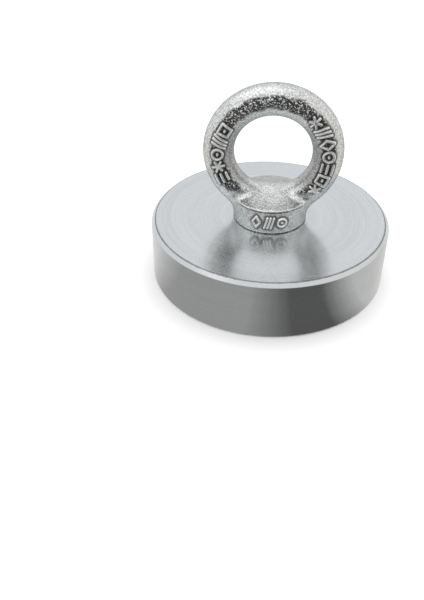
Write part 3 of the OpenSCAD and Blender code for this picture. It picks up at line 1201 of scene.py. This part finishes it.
class MAGNET_OT_fasteners(Operator):
    """Makes the flat washer, the spring washer and the nut"""

    bl_idname = "magnet.fasteners"
    bl_label = "Washers and nut"

    def execute(self, context):
        washer = turned("plain_washer", held([
            (POT.washer_in, POT.seat_z), (POT.washer_in, POT.washer_low),
            (POT.washer_out, POT.washer_low), (POT.washer_out, POT.seat_z)], 0.5 * MM),
            plated_material("washer_zinc", colours().fastener, 0.24, 1.3, POT.washer_out,
                            POT.washer_low), edge=0.25 * MM)
        finish(washer, "washers", "zinc_fastener", "flat_washer")
        finish(self.spring_washer(), "washers", "spring_steel", "spring_washer")
        finish(self.nut(), "nut", "zinc_fastener", "hex_nut")
        return {"FINISHED"}

    @staticmethod
    def spring_washer():
        """A copy of the split ring with its edges rounded."""
        mesh = frame["nodes"]["spring_washer"].data.copy()
        piece = bpy.data.objects.new("split_washer", mesh)
        bpy.context.scene.collection.objects.link(piece)
        work = bmesh.new()
        work.from_mesh(mesh)
        bmesh.ops.remove_doubles(work, verts=work.verts, dist=MM / 1000)
        bmesh.ops.dissolve_limit(work, angle_limit=math.radians(0.5), verts=work.verts,
                                 edges=work.edges)
        work.to_mesh(mesh)
        work.free()
        bevel = piece.modifiers.new("edges", "BEVEL")
        bevel.width, bevel.segments, bevel.angle_limit = 0.15 * MM, 2, math.radians(40)
        seen = piece.evaluated_get(bpy.context.evaluated_depsgraph_get())
        piece.data = bpy.data.meshes.new_from_object(seen)
        piece.modifiers.clear()
        piece.data.materials.clear()
        piece.data.materials.append(plated_material(
            "spring_steel", colours().spring, 0.3, 1.5, POT.washer_out, POT.washer_low))
        return piece

    @staticmethod
    def nut():
        """A chamfered hexagon with a true thread in its bore."""
        depth = sizes().thread_depth
        major_r = EYE.thread_r + sizes().thread_play
        minor_r = major_r - depth
        lead = major_r + LEAD_IN - minor_r
        face_r = POT.nut_flats / 2 * NUT_FACE_SHARE
        rim = POT.nut_corner
        slope = (rim - face_r) * math.tan(NUT_CHAMFER)
        low, high = POT.nut_low, POT.nut_high
        corners_of_outline = (
            ((face_r, low), RIM_STEP), ((rim, low + slope), SIDE_STEP),
            ((rim, high - slope), RIM_STEP), ((face_r, high), FACE_STEP),
            ((minor_r + lead, high), THREAD_STEP), ((minor_r, high - lead), THREAD_STEP),
            ((minor_r, low + lead), THREAD_STEP), ((minor_r + lead, low), FACE_STEP))
        outline = []
        for i, (corner, step) in enumerate(corners_of_outline):
            following = corners_of_outline[(i + 1) % len(corners_of_outline)][0]
            outline += straight(corner, following, step)
        material = plated_material("nut_zinc", colours().fastener, 0.24, 1.3, rim, low + slope)
        return turned("hexagon_nut", outline, material, edge=0.0, **{
            "Segments": NUT_SEGMENTS, "Thread Crest": major_r, "Thread Depth": depth,
            "Thread Pitch": sizes().thread_pitch, "Internal Thread": True,
            "Across Flats": POT.nut_flats})


class MAGNET_OT_stage(Operator):
    """Lays the pale floor and hangs the soft lights and the dark room seen in the metal"""

    bl_idname = "magnet.stage"
    bl_label = "Floor and lights"

    room_reach: length("Room reach", "From the magnet to the wall of the dark room", 350 * MM)
    room_height: length("Room height", "Height of that wall", 330 * MM)

    def execute(self, context):
        context.scene.view_settings.view_transform = "Standard"
        square = [(x * FLOOR_REACH, y * FLOOR_REACH, 0)
                  for x, y in ((-1, -1), (1, -1), (1, 1), (-1, 1))]
        floor = new_piece("floor", square, faces=[(0, 1, 2, 3)])
        floor.data.materials.append(floor_material())
        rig.stage(floor)
        world = bpy.data.worlds.new("world")
        context.scene.world = world
        world.use_nodes = True
        sky = world.node_tree.nodes["Background"].inputs
        sky["Color"].default_value = (1, 1, 1, 1)
        sky["Strength"].default_value = DAYLIGHT
        self.softbox("overhead", (-0.25, 0.0, 0.8), 0.9, 1.1)
        self.softbox("fill", (0.2, 0.3, 1.2), 1.2, 6.0).visible_glossy = False
        self.dark_room()
        return {"FINISHED"}

    @staticmethod
    def softbox(name, place, size, power):
        """A square light, aimed at the magnet."""
        data = bpy.data.lights.new(name, "AREA")
        data.shape = "RECTANGLE"
        data.size = data.size_y = size
        data.energy = power
        light = bpy.data.objects.new(name, data)
        light.location = place
        light.rotation_mode = "QUATERNION"
        light.rotation_quaternion = (Vector(place) - LIGHTS_AIM).to_track_quat("Z", "Y")
        bpy.context.scene.collection.objects.link(light)
        return light

    def dark_room(self):
        """A floor and a front wall that only reflections see, pale behind and darker in front."""
        lift = 0.03 * MM
        points, faces, glows = [], [], []

        def lay(rows, columns, place, glow):
            first = len(points)
            for column in columns:
                for row in rows:
                    points.append(place(column, row))
                    glows.append(glow(column, row))
            count = len(rows)
            faces.extend((first + i * count + j, first + (i + 1) * count + j,
                          first + (i + 1) * count + j + 1, first + i * count + j + 1)
                         for i in range(len(columns) - 1) for j in range(count - 1))

        def on_floor(bearing, radius):
            angle = math.radians(bearing)
            return radius * math.sin(angle), -radius * math.cos(angle), lift

        def on_wall(bearing, height):
            x, y, _ = on_floor(bearing, self.room_reach)
            return x, y, height

        def wall_tone(bearing, height):
            rise = PALE_GAIN * max(0.0, height / self.room_height - PALE_ABOVE)
            return min(PALEST, room_tone(bearing) + rise)

        lay((POT.foot_r + 2 * lift, self.room_reach), range(-180, 181, ROOM_STEP), on_floor,
            lambda bearing, radius: room_tone(bearing))
        lay([self.room_height * i / WALL_ROWS for i in range(WALL_ROWS + 1)],
            range(WALL_FROM, WALL_TO + 1, ROOM_STEP), on_wall, wall_tone)
        room = new_piece("dark_room", points, faces=faces)
        kept = room.data.attributes.new("glow", "FLOAT", "POINT")
        kept.data.foreach_set("value", glows)
        room.data.materials.append(self.room_material())
        room.visible_camera = room.visible_diffuse = room.visible_shadow = False
        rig.stage(room)

    @staticmethod
    def room_material():
        """Glows as bright as the room looks at each point."""
        material, b, shader = new_material("dark_room", Base_Color=(0, 0, 0, 1), Roughness=1.0,
                                           Specular_IOR_Level=0.0, Emission_Strength=1.0)
        glow = b.node("ShaderNodeAttribute", attribute_name="glow").outputs["Fac"]
        warm = b.combine(glow, b.times(glow, 0.975), b.times(glow, 0.95))
        b.feed(shader, {"Emission Color": warm})
        return material


class MAGNET_PT_panel(Panel):
    """Lists the pieces in the order they are made"""

    bl_idname = "MAGNET_PT_panel"
    bl_label = "Salvage magnet"
    bl_space_type = "VIEW_3D"
    bl_region_type = "UI"
    bl_category = "Salvage magnet"

    def draw(self, context):
        column = self.layout.column(align=True)
        for operator in OPERATORS:
            column.operator(operator.bl_idname)
        for group in (context.scene.magnet_sizes, context.scene.magnet_colours):
            box = self.layout.box()
            for name in group.__annotations__:
                box.prop(group, name)


OPERATORS = (MAGNET_OT_camera, MAGNET_OT_stage, MAGNET_OT_casing, MAGNET_OT_core,
             MAGNET_OT_eye_bolt, MAGNET_OT_fasteners)
CLASSES = (MagnetSizes, MagnetColours, *OPERATORS, MAGNET_PT_panel)


def register():
    for cls in CLASSES:
        bpy.utils.register_class(cls)
    bpy.types.Scene.magnet_sizes = PointerProperty(type=MagnetSizes)
    bpy.types.Scene.magnet_colours = PointerProperty(type=MagnetColours)


def unregister():
    del bpy.types.Scene.magnet_colours
    del bpy.types.Scene.magnet_sizes
    for cls in reversed(CLASSES):
        bpy.utils.unregister_class(cls)


def main():
    """Makes every piece in order and writes the model's box before and after."""
    register()
    for operator in OPERATORS:
        family, name = operator.bl_idname.split(".")
        getattr(getattr(bpy.ops, family), name)()
    boxes = {"cad": [list(corner) for corner in CAD_BOX],
             "visual": [list(corner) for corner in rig.bounds()]}
    with open(SIZE_FILE, "w") as file:
        json.dump(boxes, file)


if __name__ == "__main__":
    main()
